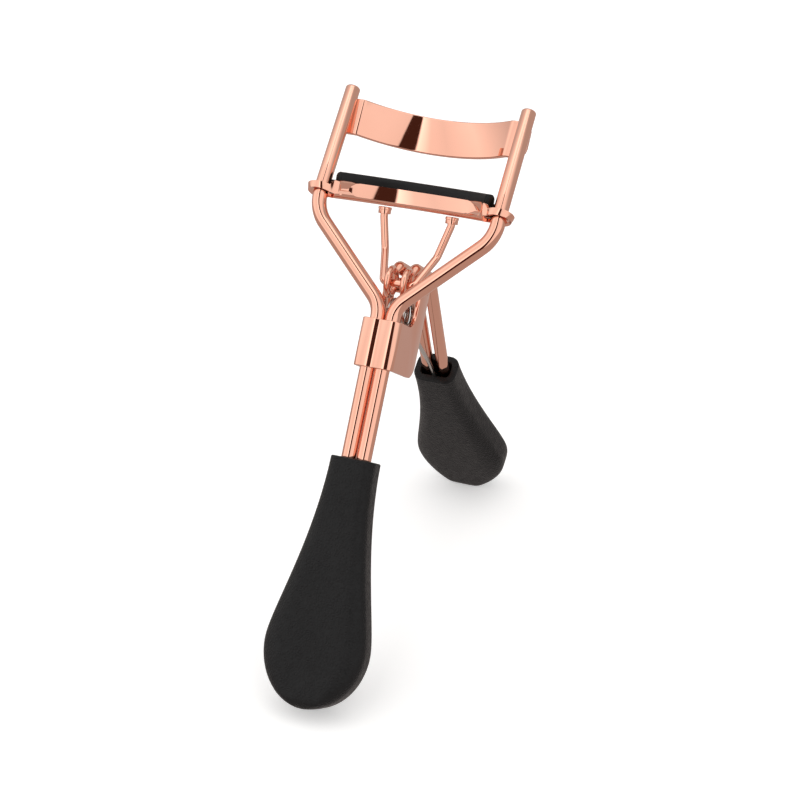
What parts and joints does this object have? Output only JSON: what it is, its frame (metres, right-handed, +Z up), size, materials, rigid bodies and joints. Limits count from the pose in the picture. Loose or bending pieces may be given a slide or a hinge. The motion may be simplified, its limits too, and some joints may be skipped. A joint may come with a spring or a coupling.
{
  "type": "eyelash curler",
  "caption": "Scissor-type eyelash curler with a bent wire frame, curved jaws, a wire link, a sprung lever and moulded grips, standing open.",
  "frame": {"origin": "on the table under the middle of the footprint, where both grips stand", "axes": "+Z up; +X to the object's right, along the jaws; +Y from the front grip towards the rear grip and the user's eye"},
  "size_m": [0.0374, 0.0938, 0.0911],
  "materials": {
    "plated_steel": "mirror-polished rose gold plating on steel",
    "spring_steel": "bare drawn spring wire",
    "silicone": "smooth satin silicone",
    "grip_plastic": "soft-touch moulding with a fine leathery grain"
  },
  "bodies": {
    "frame": {"left_frame_rod": "plated_steel", "right_frame_rod": "plated_steel", "upper_jaw": "plated_steel", "left_tab_weld": "plated_steel", "right_tab_weld": "plated_steel", "ferrule": "plated_steel", "pivot_pin": "plated_steel", "torsion_spring": "spring_steel", "front_grip": "grip_plastic"},
    "lever": {"left_lever_rod": "plated_steel", "right_lever_rod": "plated_steel", "left_nose_loop": "plated_steel", "right_nose_loop": "plated_steel", "pivot_sleeve": "plated_steel", "rear_grip": "grip_plastic"},
    "lower_jaw": {"lower_jaw_channel": "plated_steel", "silicone_pad": "silicone", "left_yoke_collar": "plated_steel", "right_yoke_collar": "plated_steel"},
    "yoke": {"link_yoke": "plated_steel"}
  },
  "joints": [
    {"name": "lever_hinge", "type": "hinge", "parent": "frame", "child": "lever", "pos_m": [0, 0.00298, 0.0599], "axis": [-1, 0, 0], "range_deg": [0, 58.9], "stiffness_Nm_per_rad": 0.02, "springref_deg": -34.38, "deforming": ["torsion_spring"]},
    {"name": "jaw_swing", "type": "hinge", "parent": "frame", "child": "lower_jaw", "pos_m": [0, 0.02232, 0.06032], "axis": [-1, 0, 0], "range_deg": [0, 18]},
    {"name": "yoke_swing", "type": "hinge", "parent": "lower_jaw", "child": "yoke", "pos_m": [0, 0.00657, 0.07204], "axis": [-1, 0, 0], "range_deg": [-23.2, 0]}
  ],
  "couplings": [
    {"joint": "jaw_swing", "follows": "lever_hinge", "ratio": 0.30534},
    {"joint": "yoke_swing", "follows": "lever_hinge", "ratio": -0.3929}
  ]
}
